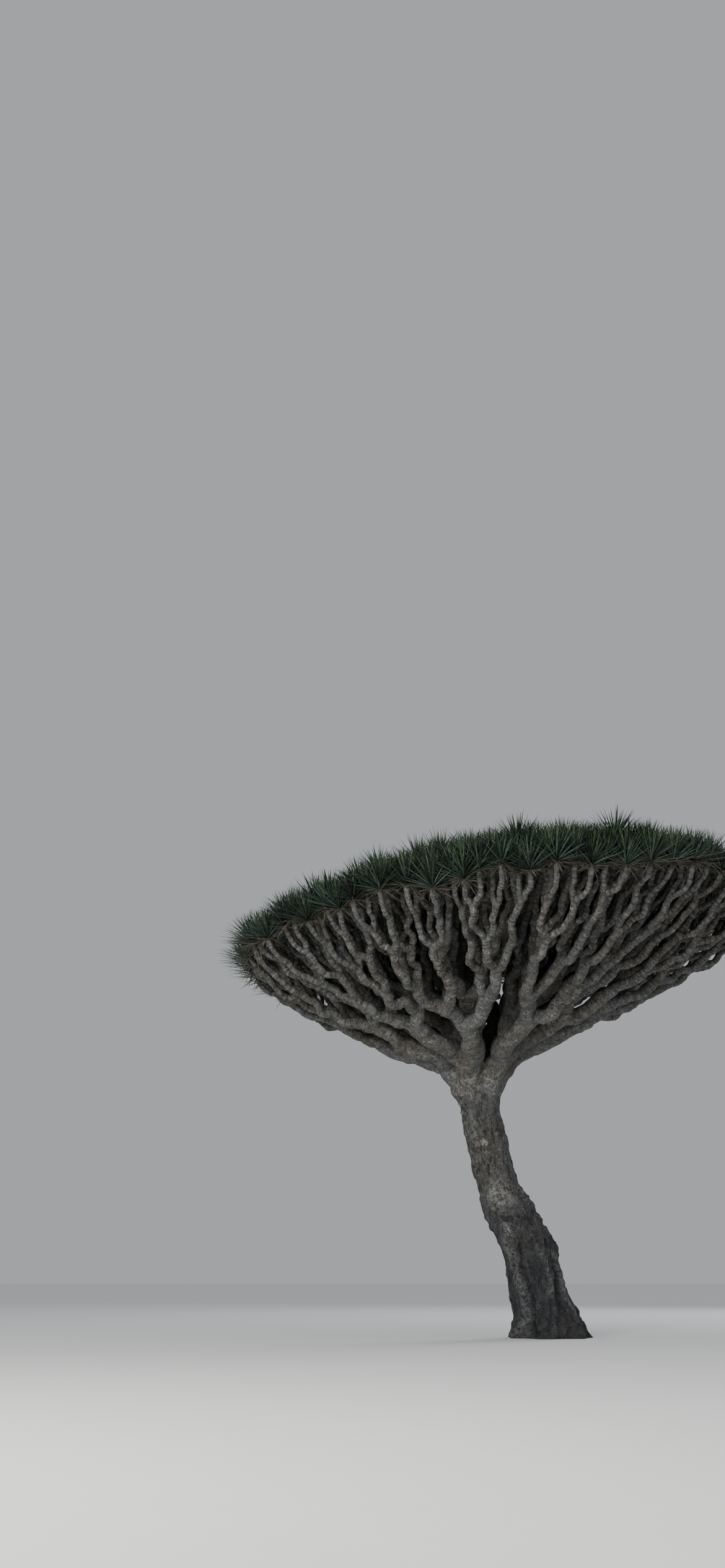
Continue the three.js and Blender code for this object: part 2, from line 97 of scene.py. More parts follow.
# Marks on the trunk's skin: how far they stand out, or sink in below 0, half width, and places.
# A place of two numbers is read across and down in a close-up at four times the photo's
# size. A place of three numbers is a given point in metres.
CLOSE_UP_CORNER = (690, 1740)
CLOSE_UP_SCALE = 4
FOLDS = [
    (-0.050, 0.026, [(390, 830), (430, 882), (480, 905), (530, 920), (560, 960), (556, 1010)]),
    (-0.020, 0.020, [(410, 800), (450, 812), (490, 835)]),
    (-0.040, 0.032, [(590, 1090), (600, 1200), (640, 1310), (680, 1430), (690, 1520), (680, 1620)]),
    (-0.026, 0.030, [(760, 1060), (820, 1200), (840, 1330), (860, 1480)]),
    (-0.060, 0.050, [(680, 1640)]),
    (-0.030, 0.020, [(425, 355)]),
    (-0.030, 0.022, [(455, 635)]),
    (-0.030, 0.020, [(715, 1055), (-0.090, -0.270, 1.075)]),
    (-0.024, 0.020, [(-0.620, -0.200, 2.000), (-0.672, -0.190, 1.895), (-0.668, -0.185, 1.830)]),
]
RIDGES = [
    (0.030, 0.075, [(500, 1070), (540, 1140), (560, 1230), (590, 1330), (630, 1430), (640, 1530),
                    (600, 1620), (555, 1680)]),
    (0.026, 0.040, [(720, 1090), (770, 1200), (790, 1300), (800, 1400)]),
    (0.028, 0.045, [(800, 1130), (850, 1260), (880, 1400), (960, 1560)]),
    (0.020, 0.026, [(410, 700), (470, 700), (530, 740), (520, 790), (450, 790), (410, 760)]),
    (0.022, 0.028, [(400, 480)]),
    (0.018, 0.024, [(430, 500)]),
    (0.024, 0.026, [(395, 550)]),
    (0.020, 0.024, [(-0.640, -0.191, 1.851)]),
    (0.022, 0.028, [(380, 630)]),
    (0.048, 0.034, [(190, 110)]),
    (0.036, 0.026, [(215, 170)]),
    (0.046, 0.028, [(232, 230)]),
    (0.032, 0.024, [(255, 300), (-0.885, -0.085, 2.330)]),
    (0.036, 0.026, [(-0.868, -0.078, 2.200)]),
    (0.036, 0.028, [(-0.850, -0.060, 2.080), (290, 520)]),
    (0.038, 0.026, [(305, 590)]),
    (0.016, 0.030, [(300, 340), (330, 390)]),
]
LICHEN_SPOTS = [((-0.545, -0.220, 1.590), 0.16), ((520, 985), 0.08)]
LICHEN_DISC = (365, 415)


def sight(column, row):
    """The way from the camera through a pixel of the photo, at length 1."""
    right = (column - PHOTO_MIDDLE[0]) / PHOTO_FOCAL
    up = (PHOTO_MIDDLE[1] - row) / PHOTO_FOCAL
    ahead = np.array([0, math.cos(CAMERA_TILT), math.sin(CAMERA_TILT)])
    above = np.array([0, -math.sin(CAMERA_TILT), math.cos(CAMERA_TILT)])
    way = ahead + right * np.array([1, 0, 0]) + up * above
    return way / np.linalg.norm(way)


foot_sight = sight(*FOOT_PLACE)
CAMERA_PLACE = -foot_sight * (CAMERA_DISTANCE / foot_sight[1])

# A line of sight is followed from and to these distances, in these steps.
SIGHT_START = 15
SIGHT_END = 19
SIGHT_STEP = 0.004


def mark_point(place):
    """A mark's place as a point in metres. One of the close-up is the bark that shows there."""
    if len(place) == 3:
        return np.array(place)
    across, down = place
    column = CLOSE_UP_CORNER[0] + across / CLOSE_UP_SCALE
    row = CLOSE_UP_CORNER[1] + down / CLOSE_UP_SCALE
    points = CAMERA_PLACE + sight(column, row) * np.arange(SIGHT_START, SIGHT_END, SIGHT_STEP)[:, None]
    x, y, radius = (np.interp(points[:, 2], TRUNK_STATIONS[:, 0], TRUNK_STATIONS[:, i]) for i in (1, 2, 3))
    inside = np.hypot(points[:, 0] - x, points[:, 1] - y) <= radius
    return points[np.argmax(inside)].round(3)


def value_noise(points, size, seed):
    """Smooth random values from -1 to 1 over points, in bumps about size metres wide."""
    grid = points / size
    low = np.floor(grid).astype(np.int64)
    within = grid - low
    within = within * within * (3 - 2 * within)
    total = np.zeros(len(points))
    for corner in itertools.product((0, 1), repeat=3):
        x, y, z = (low + corner).T
        h = (x * 73856093 ^ y * 19349663 ^ z * 83492791 ^ seed * 2654435761) & 0xFFFFFFFF
        h = ((h ^ (h >> 13)) * 1274126177) & 0xFFFFFFFF
        h = ((h ^ (h >> 15)) * 668265263) & 0xFFFFFFFF
        weight = np.prod(np.where(corner, within, 1 - within), axis=1)
        total += weight * ((h ^ (h >> 16)) & 0xFFFFFFFF) / 2**32
    return 2 * total - 1


def curved(heights, column):
    """A column of the trunk's stations at other heights, on a smooth curve through them."""
    z, values = TRUNK_STATIONS[:, 0], TRUNK_STATIONS[:, column]
    slopes = np.gradient(values, z)
    i = np.clip(np.searchsorted(z, heights, side="right") - 1, 0, len(z) - 2)
    step = z[i + 1] - z[i]
    t = (heights - z[i]) / step
    return (
        (2 * t**3 - 3 * t**2 + 1) * values[i]
        + (t**3 - 2 * t**2 + t) * step * slopes[i]
        + (3 * t**2 - 2 * t**3) * values[i + 1]
        + (t**3 - t**2) * step * slopes[i + 1]
    )


def tube(rings):
    """Points and faces of a closed skin over a stack of rings, each an array of points."""
    rows, sides = rings.shape[:2]
    poles = [rings[0].mean(axis=0), rings[-1].mean(axis=0)]
    points = np.vstack([rings.reshape(-1, 3), poles])
    j = np.arange(sides)
    k = (j + 1) % sides
    rise = sides * np.arange(rows - 1)[:, None]
    quads = np.stack([rise + j, rise + k, rise + sides + k, rise + sides + j], axis=-1).reshape(-1, 4)
    last = (rows - 1) * sides
    foot = np.stack([k, j, np.full(sides, rows * sides)], axis=-1)
    head = np.stack([last + j, last + k, np.full(sides, rows * sides + 1)], axis=-1)
    return points, quads, np.vstack([foot, head])


def trunk_rings():
    heights = np.linspace(0, NECK_HEIGHT, TRUNK_ROWS)
    bearings = np.linspace(0, 2 * math.pi, TRUNK_SIDES, endpoint=False)
    z, turn = np.meshgrid(heights, bearings, indexing="ij")
    x, y, radius = (curved(z, column) for column in (1, 2, 3))
    fade = np.clip(1 - z / TOE_HEIGHT, 0, 1) ** 1.5
    reach = radius * (1 + TOE_DEPTH * fade * np.cos(TOES * turn + 0.8 * np.sin(2 * turn)))
    for at, degrees, size, half_height, half_width in KNOTS:
        apart = 2 * radius * np.sin((turn - math.radians(degrees)) / 2)
        reach += size * np.exp(-(((z - at) / half_height) ** 2) - (apart / half_width) ** 2)
    rings = np.stack([x + reach * np.cos(turn), y + reach * np.sin(turn), z], axis=-1)
    # A low dome over the neck, inside the boughs' roots.
    dome = [rings[-1]]
    middle = np.array([NECK_X, NECK_Y, NECK_HEIGHT])
    for angle in (30, 60, 85):
        share = math.cos(math.radians(angle))
        ring = middle + (rings[-1] - middle) * share
        ring[:, 2] += NECK_DOME_HEIGHT * math.sin(math.radians(angle))
        dome.append(ring)
    return np.concatenate([rings[:-1], np.array(dome)])


# The dome that the last twigs end on, and the waves of its outline: count, size and phase.
CROWN_MIDDLE = Vector((-0.4, 0, 0))
CROWN_RADIUS = 3.35
RIM_HEIGHT = 4.65
TOP_HEIGHT = 5.51
DOME_POWER = 1.6
CROWN_TILT = 0.115
OUTLINE_POINTS = 40
OUTLINE_WAVES = [(3, 0.022, 0.6), (5, 0.016, 2.1)]

# The small disc over the fork that all ways to the dome start from, and how they turn up late.
FAN_HEIGHT = 2.92
FAN_TILT = 0.02
FAN_SPREAD = 0.2
UPTURN = 0.18
UPTURN_POWER = 8

# The five main boughs, round the trunk's neck. Their tubes start down inside the trunk.
MAIN_BEARINGS = [-88, -18, 56, 134, 202]
MAIN_OFFSET = 0.48
MAIN_RADIUS = 0.54
MAIN_LEANS = [0.7, 0.7, 0.7, 1.0, 0.8]
MAIN_DEEP_HEIGHT = 2.45

# Lists that start with 0 are read by order: 1 for a main bough, up to 8 for a last twig.
BOUGH_ORDERS = 3
ALL_ORDERS = 8
FORK_SHARES = [0, 0.10, 0.21, 0.34, 0.47, 0.63, 0.79, 0.92, 1]  # how far out each order forks
END_RADII = [0, 0.160, 0.132, 0.106, 0.083, 0.058, 0.045, 0.036, 0.030]
ROOT_RADIUS = 0.94
SPLAY_GAIN = [0, 2, 2, 2, 2.4, 2.8, 3.2, 3.4, 3.4]
SPLAY_MOST = [0, 0.55, 0.55, 0.55, 0.7, 0.85, 1.0, 1.2, 1.3]  # how sharply the arms of a fork part
LIFT = [0, 0, 0, 0, 0.05, 0.15, 0.35, 0.7, 1.2]  # how far each order's ends turn up
FOLLOW = 0.5  # how much a limb's end keeps to its straight way
ARM = [0, 0.34, 0.34, 0.34, 0.36, 0.39, 0.42, 0.43, 0.43]  # handles of the limb's curve
WANDER = 0.045  # most that a handle strays, as a share of the limb's length
TIMING = 0.02  # most that a fork comes early or late
LAST_HEADING = 0.97
TIP_UNEVEN = 0.08  # most that a last twig ends higher or lower than the crown's dome
TALL_SHARE = 0.06
TALL_EXTRA = 0.09
CUT_TURN = 0.3
CUT_SHIFT = 0.17
SEED = 20417
UP = Vector((0, 0, 1))


def chance(number, draw):
    """A fixed number from 0 to 1 for each branch and each draw that it makes."""
    word = 0xFFFFFFFF
    h = (number * 374761393 + draw * 668265263 + SEED) & word
    h = ((h ^ (h >> 13)) * 1274126177) & word
    h = ((h ^ (h >> 15)) * 2246822519) & word
    return (h ^ (h >> 16)) / 2**32


def stray(number, draw, most):
    return (2 * chance(number, draw) - 1) * most


def crown_outline():
    outline = []
    for i in range(OUTLINE_POINTS):
        bearing = 2 * math.pi * i / OUTLINE_POINTS
        share = 1 + sum(size * math.sin(count * bearing + phase) for count, size, phase in OUTLINE_WAVES)
        outline.append((CROWN_RADIUS * share * math.cos(bearing), CROWN_RADIUS * share * math.sin(bearing)))
    return outline


def clip(outline, normal, offset):
    """The part of a convex outline on the side of a line that its normal points to."""
    kept = []
    for a, b in zip(outline, outline[1:] + outline[:1]):
        da = a[0] * normal[0] + a[1] * normal[1] - offset
        db = b[0] * normal[0] + b[1] * normal[1] - offset
        if da >= 0:
            kept.append(a)
        if da * db < 0:
            s = da / (da - db)
            kept.append((a[0] + (b[0] - a[0]) * s, a[1] + (b[1] - a[1]) * s))
    return kept


def measure(outline):
    """The middle of an outline, the bearing of its longer axis, and its spread along that axis."""
    area = x = y = xx = yy = xy = 0
    for a, b in zip(outline, outline[1:] + outline[:1]):
        cross = a[0] * b[1] - b[0] * a[1]
        area += cross / 2
        x += (a[0] + b[0]) * cross / 6
        y += (a[1] + b[1]) * cross / 6
        xx += (a[0] ** 2 + a[0] * b[0] + b[0] ** 2) * cross / 12
        yy += (a[1] ** 2 + a[1] * b[1] + b[1] ** 2) * cross / 12
        xy += (a[0] * b[1] + 2 * a[0] * a[1] + 2 * b[0] * b[1] + b[0] * a[1]) * cross / 24
    middle = (x / area, y / area)
    var_x = xx / area - middle[0] ** 2
    var_y = yy / area - middle[1] ** 2
    both = xy / area - middle[0] * middle[1]
    bearing = 0.5 * math.atan2(2 * both, var_x - var_y)
    spread = math.sqrt((var_x + var_y) / 2 + math.hypot((var_x - var_y) / 2, both))
    return middle, bearing, spread


def on_the_way(spot, share):
    """A point on the way to one spot of the crown, from over the fork at 0 to a twig's end at 1."""
    spot = Vector((*spot, 0))
    dome = 1 - (spot.length / CROWN_RADIUS) ** DOME_POWER
    end = CROWN_MIDDLE + spot
    end.z = RIM_HEIGHT + (TOP_HEIGHT - RIM_HEIGHT) * dome + CROWN_TILT * spot.x
    start = Vector((NECK_X, NECK_Y, FAN_HEIGHT + FAN_TILT * spot.x)) + spot * (FAN_SPREAD / CROWN_RADIUS)
    point = start.lerp(end, share)
    rise = share * (1 - UPTURN) + UPTURN * share**UPTURN_POWER
    point.z = start.z + (end.z - start.z) * rise
    return point


def heading_at(spot, share):
    return (on_the_way(spot, share + 0.02) - on_the_way(spot, share - 0.02)).normalized()


def fork_share(number, order):
    return 1 if order == ALL_ORDERS else FORK_SHARES[order] + stray(number, 1, TIMING)


def square(vector, axis):
    """What is left of a vector once its part along an axis is taken away, at length 1."""
    return (vector - axis * vector.dot(axis)).normalized()


class Branch:
    """A limb or twig: its curve's four points, its radii, its parent's end heading, and its arms."""

    def __init__(self, number, order, cell, root, heading, root_radius, path, parent_out):
        self.number, self.order, self.heading = number, order, heading
        self.root_radius, self.end_radius = root_radius, END_RADII[order]
        middle, bearing, spread = measure(cell)
        last = order == ALL_ORDERS
        share = fork_share(number, order)
        end = on_the_way(middle, share)
        self.tall = last and chance(number, 11) < TALL_SHARE
        if last:
            end.z += stray(number, 10, TIP_UNEVEN) + TALL_EXTRA * self.tall
        reach = (end - root).length
        straight = (end - root).normalized()
        sideways = square(straight, heading)
        splay = min(SPLAY_MOST[order], SPLAY_GAIN[order] * straight.dot(sideways))
        leaving = (heading + sideways * splay).normalized()
        arriving = heading_at(middle, LAST_HEADING if last else share) + straight * FOLLOW
        arriving = (arriving + UP * LIFT[order]).normalized()
        across = straight.cross(UP).normalized()
        upwards = across.cross(straight)

        def handle(point, way, length, draw):
            aside = across * stray(number, draw, WANDER) + upwards * stray(number, draw + 1, WANDER)
            return point + way * length + aside * reach

        first = handle(root, leaving, ARM[order] * reach, 2)
        second = handle(end, arriving, -ARM[order] * reach, 4)
        self.curve = np.array([root, first, second, end])
        self.across = np.array(across)
        self.end_heading = (end - second).normalized()
        self.path, self.reach = path, reach
        self.outs = (parent_out, math.hypot(*middle) / CROWN_RADIUS)  # how far out its root and end lie
        self.arms = []
        if last:
            return
        turned = bearing + stray(number, 6, CUT_TURN)
        normal = (math.cos(turned), math.sin(turned))
        offset = middle[0] * normal[0] + middle[1] * normal[1] + stray(number, 7, CUT_SHIFT) * spread
        for i, side in enumerate((1, -1)):
            half = clip(cell, (normal[0] * side, normal[1] * side), offset * side)
            self.arms.append(Branch(
                2 * number + i, order + 1, half, end, self.end_heading,
                self.end_radius * ROOT_RADIUS, path + reach, self.outs[1],
            ))


main_boughs = []
for i, degrees in enumerate(MAIN_BEARINGS):
    low = math.radians(degrees)
    high = math.radians((MAIN_BEARINGS + [MAIN_BEARINGS[0] + 360])[i + 1])
    sector = clip(crown_outline(), (-math.sin(low), math.cos(low)), 0)
    sector = clip(sector, (math.sin(high), -math.cos(high)), 0)
    outward = Vector((math.cos((low + high) / 2), math.sin((low + high) / 2), 0))
    root = Vector((NECK_X, NECK_Y, NECK_HEIGHT)) + outward * (MAIN_OFFSET * NECK_RADIUS)
    heading = (UP + outward * MAIN_LEANS[i]).normalized()
    main_boughs.append(Branch(
        2**BOUGH_ORDERS + i, 1, sector, root, heading, MAIN_RADIUS * NECK_RADIUS, 0, 1,
    ))


def everything(branches):
    """The branches and all that grows from them, parents before children."""
    found = list(branches)
    for branch in found:
        found += branch.arms
    return found


limbs = everything(main_boughs)
KINK_LENGTHS = [0, 0.32, 0.32, 0.32, 0.30, 0.24, 0.18, 0.16, 0.13]
KINKS = [0, 0.02, 0.03, 0.055, 0.08, 0.08, 0.06, 0.05, 0.025]  # how far each order bends
KINK_SEEDS = (79, 80)
BULGE = [0, 0.01, 0.015, 0.02, 0.03, 0.05, 0.08, 0.11, 0.12]  # swelling between two necks
SEGMENTS = [0, 0.14, 0.13, 0.12, 0.11, 0.095, 0.085, 0.075, 0.07]  # length grown between two pauses


def limb_rings(branch, sides, rows, lead):
    """Middles, radii, spokes and necks of a limb's rings, from its lead points to its end's dome."""
    s = np.linspace(0, 1, rows)[:, None]
    p0, p1, p2, p3 = branch.curve
    centres = (1 - s) ** 3 * p0 + 3 * (1 - s) ** 2 * s * p1 + 3 * (1 - s) * s**2 * p2 + s**3 * p3
    tangents = (1 - s) ** 2 * (p1 - p0) + 2 * (1 - s) * s * (p2 - p1) + s**2 * (p3 - p2)
    tangents /= np.linalg.norm(tangents, axis=1, keepdims=True)
    s = s[:, 0]
    length = branch.reach * s
    radii = branch.root_radius + (branch.end_radius - branch.root_radius) * s
    # Kinks, where the limb once lost an arm or a head of leaves.
    spot = np.stack([length, length * 0 + 0.37 * branch.number, length * 0], axis=1)
    bend = KINKS[branch.order] * np.sin(math.pi * s)
    for seed, way in zip(KINK_SEEDS, (branch.across, np.cross(tangents, branch.across))):
        centres = centres + (bend * value_noise(spot, KINK_LENGTHS[branch.order], seed))[:, None] * way
    end_tangent = tangents[-1]
    tangents = np.gradient(centres, axis=0)
    tangents /= np.linalg.norm(tangents, axis=1, keepdims=True)
    # Wide over each fork and slim between them, with a neck wherever growth paused.
    pauses = length / SEGMENTS[branch.order] + chance(branch.number, 9) + 0.6 * value_noise(spot, 0.15, 23)
    necks = np.sin(math.pi * pauses) ** 4
    radii = radii * (1.05 - 0.13 * np.sin(math.pi * s) ** 2 + BULGE[branch.order] * (0.5 - necks))
    lead_points, lead_heading = lead
    centres = np.vstack([lead_points, centres])
    tangents = np.vstack([np.tile(lead_heading, (len(lead_points), 1)), tangents])
    radii = np.concatenate([np.full(len(lead_points), radii[0] * 0.92), radii])
    necks = np.concatenate([np.zeros(len(lead_points)), necks, (0, 0)])
    for angle in (38, 72):
        turn = math.radians(angle)
        centres = np.vstack([centres, p3 + end_tangent * (branch.end_radius * 0.8 * math.sin(turn))])
        tangents = np.vstack([tangents, end_tangent])
        radii = np.append(radii, branch.end_radius * math.cos(turn))
    u = branch.across - tangents * (tangents @ branch.across)[:, None]
    u /= np.linalg.norm(u, axis=1, keepdims=True)
    v = np.cross(tangents, u)
    turn = np.linspace(0, 2 * math.pi, sides, endpoint=False)[None, :, None]
    spokes = u[:, None] * np.cos(turn) + v[:, None] * np.sin(turn)
    return centres, radii, spokes, necks


def root_lead(branch):
    """Points that run back from a main bough's root, down into the trunk under it."""
    root = branch.curve[0]
    height = np.array(MAIN_DEEP_HEIGHT)
    deep = np.array([curved(height, 1), curved(height, 2), height])
    deep[:2] += (root[:2] - np.array([NECK_X, NECK_Y])) * 0.35
    share = np.linspace(0, 1, 6, endpoint=False)[:, None] ** 0.8
    return deep + (root - deep) * share, np.array(branch.heading)


def inner_lead(branch):
    """One point just inside the parent's end."""
    heading = np.array(branch.heading)
    return [branch.curve[0] - heading * 0.35 * branch.root_radius], heading


def joined_mesh(name, parts):
    """One mesh of many tubes."""
    points, quads, triangles, count = [], [], [], 0
    for p, q, t in parts:
        points.append(p)
        quads.append(q + count)
        triangles.append(t + count)
        count += len(p)
    points, quads, triangles = np.vstack(points), np.vstack(quads), np.vstack(triangles)
    corners = np.concatenate([quads.ravel(), triangles.ravel()])
    sizes = np.concatenate([np.full(len(quads), 4), np.full(len(triangles), 3)])
    mesh = bpy.data.meshes.new(name)
    mesh.vertices.add(len(points))
    mesh.vertices.foreach_set("co", points.astype(np.float32).ravel())
    mesh.loops.add(len(corners))
    mesh.loops.foreach_set("vertex_index", corners.astype(np.int32))
    mesh.polygons.add(len(sizes))
    mesh.polygons.foreach_set("loop_start", (np.cumsum(sizes) - sizes).astype(np.int32))
    mesh.update(calc_edges=True)
    mesh.validate()
    mesh.shade_smooth()
    piece = bpy.data.objects.new(name, mesh)
    bpy.context.scene.collection.objects.link(piece)
    return piece


wood_parts = [tube(trunk_rings())]
BOUGH_GRIDS = {1: (48, 26), 2: (44, 24), 3: (40, 24)}
for branch in limbs:
    if branch.order > BOUGH_ORDERS:
        continue
    lead = root_lead(branch) if branch.order == 1 else inner_lead(branch)
    centres, radii, spokes, _ = limb_rings(branch, *BOUGH_GRIDS[branch.order], lead)
    wood_parts.append(tube(centres[:, None] + radii[:, None, None] * spokes))

wood = joined_mesh("wood", wood_parts)
SKIN_VOXEL = 0.018
SKIN_SMOOTHING = 8
remesh = wood.modifiers.new("skin", "REMESH")
remesh.mode = "VOXEL"
remesh.voxel_size = SKIN_VOXEL
remesh.use_smooth_shade = True
soften = wood.modifiers.new("soften", "SMOOTH")
soften.factor = 0.5
soften.iterations = SKIN_SMOOTHING
bpy.context.view_layer.update()
skinned = wood.evaluated_get(bpy.context.evaluated_depsgraph_get()).to_mesh()
count = len(skinned.vertices)
skin_points = np.empty(count * 3)
skinned.vertices.foreach_get("co", skin_points)
skin_points = skin_points.reshape(-1, 3)
skin_normals = np.empty(count * 3)
skinned.vertices.foreach_get("normal", skin_normals)
skin_normals = skin_normals.reshape(-1, 3)
skin_corners = np.empty(len(skinned.loops), np.int32)
skinned.loops.foreach_get("vertex_index", skin_corners)
skin_quads = skin_corners.reshape(-1, 4)
bpy.data.objects.remove(wood)


def closeness(points, places, half_width):
    """1 on a line through a mark's places, falling away from it over its half width."""
    line = np.array([mark_point(place) for place in places])
    best = np.linalg.norm(points - line[0], axis=1)
    for a, b in zip(line[:-1], line[1:]):
        along = np.clip((points - a) @ (b - a) / ((b - a) @ (b - a)), 0, 1)
        best = np.minimum(best, np.linalg.norm(points - a - along[:, None] * (b - a), axis=1))
    return np.exp(-((best / half_width) ** 2))


# Relief, pressed out along the skin: lumps, folds that run with the limb, and the trunk's marks.
RELIEF_END = 2.9  # height at which the trunk's coarser bark has given way to the boughs'
RELIEF_FADE = 0.5
on_trunk = np.clip((RELIEF_END - skin_points[:, 2]) / RELIEF_FADE, 0, 1)
relief = (0.006 + 0.006 * on_trunk) * value_noise(skin_points, 0.16, 1)
relief += (0.007 + 0.003 * on_trunk) * value_noise(skin_points, 0.07, 2)
relief += (0.003 + 0.003 * on_trunk) * value_noise(skin_points, 0.036, 3)
stretched = skin_points * (1, 1, 0.28) + 0.03 * value_noise(skin_points, 0.25, 4)[:, None]
furrows = np.clip(1 - 2.2 * np.abs(value_noise(stretched, 0.085, 5)), 0, 1) ** 2
relief -= 0.012 * on_trunk * furrows
flakes = value_noise(skin_points * (1, 1, 0.6) + 0.02 * value_noise(skin_points, 0.1, 9)[:, None], 0.045, 10)
relief += 0.007 * on_trunk * np.clip(3.5 * flakes, -1, 1)
near = np.flatnonzero(skin_points[:, 2] < 3)
warped = skin_points[near] + 0.015 * np.stack(
    [value_noise(skin_points[near], 0.05, seed) for seed in (6, 7, 8)], axis=1)
shaded = 0.4 * on_trunk * furrows
lichened = np.zeros(len(skin_points))
for depth, half_width, places in FOLDS:
    mark = closeness(warped, places, half_width)
    relief[near] += depth * mark
    shaded[near] = np.maximum(shaded[near], mark)
for depth, half_width, places in RIDGES:
    mark = closeness(warped, places, half_width)
    relief[near] += depth * mark
    lichened[near] = np.maximum(lichened[near], 0.4 * mark)
for place, half_width in LICHEN_SPOTS:
    lichened[near] = np.maximum(lichened[near], closeness(warped, [place], half_width))
grounded = np.clip(skin_points[:, 2] / 0.03, 0, 1)
skin_points += skin_normals * (relief * grounded)[:, None]
skin_points[:, 2] = np.maximum(skin_points[:, 2], 0)

# How far along its limb each point of the skin lies, from the nearest limb's centreline.
line_points, line_reach, line_out = [], [], []
for branch in limbs:
    if branch.order <= BOUGH_ORDERS:
        for s in np.linspace(0, 1, 12):
            weights = ((1 - s) ** 3, 3 * (1 - s) ** 2 * s, 3 * (1 - s) * s**2, s**3)
            line_points.append(np.array(weights) @ branch.curve)
            line_reach.append(branch.path + branch.reach * s)
            line_out.append(branch.outs[0] * (1 - s) + branch.outs[1] * s)
nearest = KDTree(len(line_points))
for i, point in enumerate(line_points):
    nearest.insert(point, i)
nearest.balance()


class Shade:
    """A socket of a finish. Sums with numbers or other sockets add Math nodes."""

    def __init__(self, finish, socket):
        self.finish, self.socket = finish, socket

    def sum(self, operation, a, b):
        return self.finish.add("ShaderNodeMath", {"operation": operation}, {0: a, 1: b})["Value"]

    def __add__(self, other):
        return self.sum("ADD", self, other)

    def __radd__(self, other):
        return self.sum("ADD", other, self)

    def __sub__(self, other):
        return self.sum("SUBTRACT", self, other)

    def __rsub__(self, other):
        return self.sum("SUBTRACT", other, self)

    def __mul__(self, other):
        return self.sum("MULTIPLY", self, other)

    def __rmul__(self, other):
        return self.sum("MULTIPLY", other, self)


class Node:
    """A node of a finish, whose outputs are read by name or number."""

    def __init__(self, finish, node):
        self.finish, self.node = finish, node

    def __getitem__(self, key):
        return Shade(self.finish, self.node.outputs[key])


class Finish:
    """A material. Its plain numbers sit on the shader, and its pattern comes from nodes."""

    def __init__(self, name, **plain):
        self.material = bpy.data.materials.new(name)
        self.material.use_nodes = True
        self.tree = self.material.node_tree
        self.shader = self.tree.nodes["Principled BSDF"]
        for key, value in plain.items():
            self.shader.inputs[key.replace("_", " ")].default_value = value

    def join(self, socket, value):
        if isinstance(value, Shade):
            self.tree.links.new(value.socket, socket)
        else:
            socket.default_value = value

    def add(self, kind, settings=None, sockets=None):
        node = self.tree.nodes.new(kind)
        for key, value in (settings or {}).items():
            setattr(node, key, value)
        for key, value in (sockets or {}).items():
            self.join(node.inputs[key], value)
        return Node(self, node)

    def set(self, **sockets):
        for key, value in sockets.items():
            self.join(self.shader.inputs[key.replace("_", " ")], value)

    def place(self):
        return self.add("ShaderNodeTexCoord")["Object"]

    def value(self, name):
        """A value that the mesh holds at its points."""
        return self.add("ShaderNodeAttribute", {"attribute_name": name})["Fac"]

    def noise(self, place, scale, detail=3, roughness=0.6, distortion=0):
        return self.add("ShaderNodeTexNoise", {}, {
            "Vector": place, "Scale": scale, "Detail": detail,
            "Roughness": roughness, "Distortion": distortion,
        })["Fac"]

    def bands(self, reach, scale, detail):
        """Uneven bands across a limb."""
        return self.add("ShaderNodeTexNoise", {"noise_dimensions": "1D"}, {
            "W": reach, "Scale": scale, "Detail": detail, "Roughness": 0.6,
        })["Fac"]

    def cells(self, place, scale):
        return self.add("ShaderNodeTexVoronoi", {}, {"Vector": place, "Scale": scale})["Distance"]

    def step(self, value, low, high):
        """0 below low, 1 above high, and smooth between them."""
        return self.add("ShaderNodeMapRange", {"interpolation_type": "SMOOTHSTEP"}, {
            "Value": value, "From Min": low, "From Max": high,
        })["Result"]

    def blend(self, share, a, b):
        return self.add("ShaderNodeMix", {"data_type": "RGBA"}, {0: share, 6: a, 7: b})[2]

    def stretch(self, place, x, y, z):
        return self.add("ShaderNodeVectorMath", {"operation": "MULTIPLY"}, {0: place, 1: (x, y, z)})[0]

    def away(self, place, point):
        return self.add("ShaderNodeVectorMath", {"operation": "DISTANCE"}, {0: place, 1: point})["Value"]

    def bump(self, height, distance):
        normal = self.add("ShaderNodeBump", {}, {"Height": height, "Distance": distance})
        self.join(self.shader.inputs["Normal"], normal["Normal"])


def colour(r, g, b):
    """A colour as it looks on a screen, from 0 to 255, as the light that a shader works in."""
    light = [c / 255 / 12.92 if c <= 10 else ((c / 255 + 0.055) / 1.055) ** 2.4 for c in (r, g, b)]
    return (*light, 1)


BARK_DARK = colour(46, 45, 43)
BARK_GREY = colour(98, 98, 96)
BARK_PALE = colour(132, 134, 134)
BARK_WARM = colour(96, 91, 81)
LICHEN = colour(174, 175, 170)
TRUNK_DARK_BLUE = colour(41, 43, 48)
FOLD_SHADE = colour(26, 26, 27)
INNER_SHADE = colour(32, 32, 33)
LEAF_SHEATH = colour(74, 69, 58)


